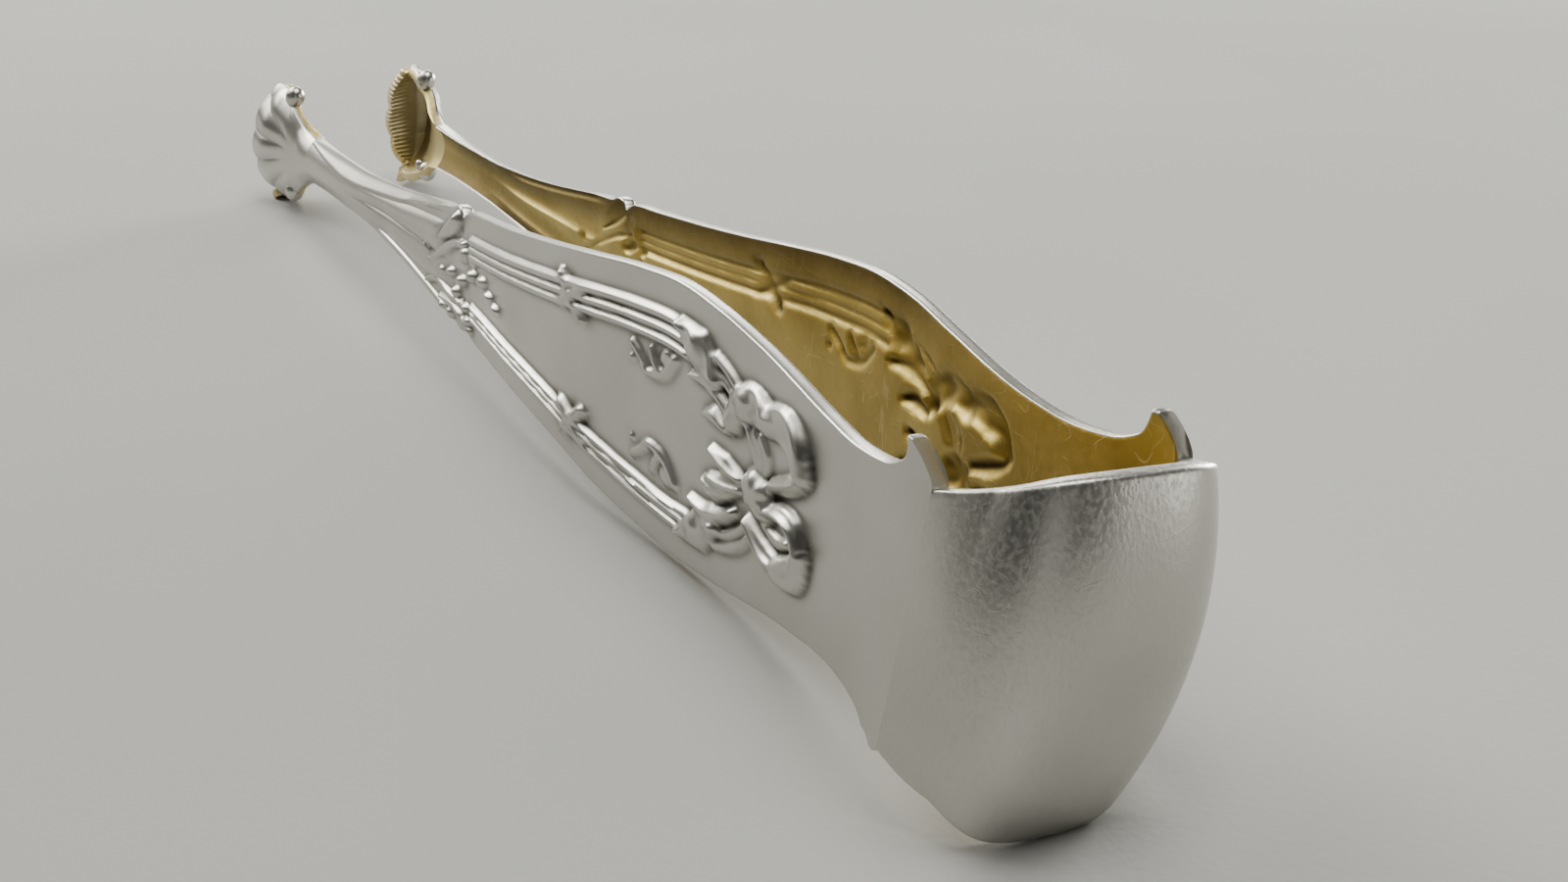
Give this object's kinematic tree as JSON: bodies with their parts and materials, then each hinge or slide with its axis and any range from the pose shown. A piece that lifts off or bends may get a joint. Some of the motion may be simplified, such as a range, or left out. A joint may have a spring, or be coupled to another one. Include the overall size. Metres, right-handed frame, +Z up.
{
  "type": "spring ice tongs",
  "caption": "One-piece spring ice tongs of die-struck sheet: a U-bent bow, two embossed tapering arms and shell-shaped claws with scrolled corners.",
  "frame": {"origin": "middle of the footprint, on the surface that the tongs lie on", "axes": "+Y along the tongs from the bow to the claws, +X across the gap from the left arm to the right arm, +Z up, across the width of the strip"},
  "size_m": [0.0222, 0.1572, 0.0272],
  "materials": {
    "silver": "worn polished silver outside, antique gilt inside"
  },
  "bodies": {
    "bow_body": {"bow": "silver"},
    "left_arm_body": {"left_arm": "silver", "left_claw": "silver"},
    "right_arm_body": {"right_arm": "silver", "right_claw": "silver"}
  },
  "joints": [
    {"name": "left_arm_spring", "type": "hinge", "parent": "bow_body", "child": "left_arm_body", "pos_m": [-0.0087, -0.06894, 0.01329], "axis": [0, -0.0377, -0.9993], "range_deg": [-0.8, 1.85], "stiffness_Nm_per_rad": 8},
    {"name": "right_arm_spring", "type": "hinge", "parent": "bow_body", "child": "right_arm_body", "pos_m": [0.0087, -0.06894, 0.01329], "axis": [0, 0.0377, 0.9993], "range_deg": [-0.8, 1.85], "stiffness_Nm_per_rad": 8}
  ],
  "couplings": [
    {"joint": "right_arm_spring", "follows": "left_arm_spring", "ratio": 1}
  ]
}
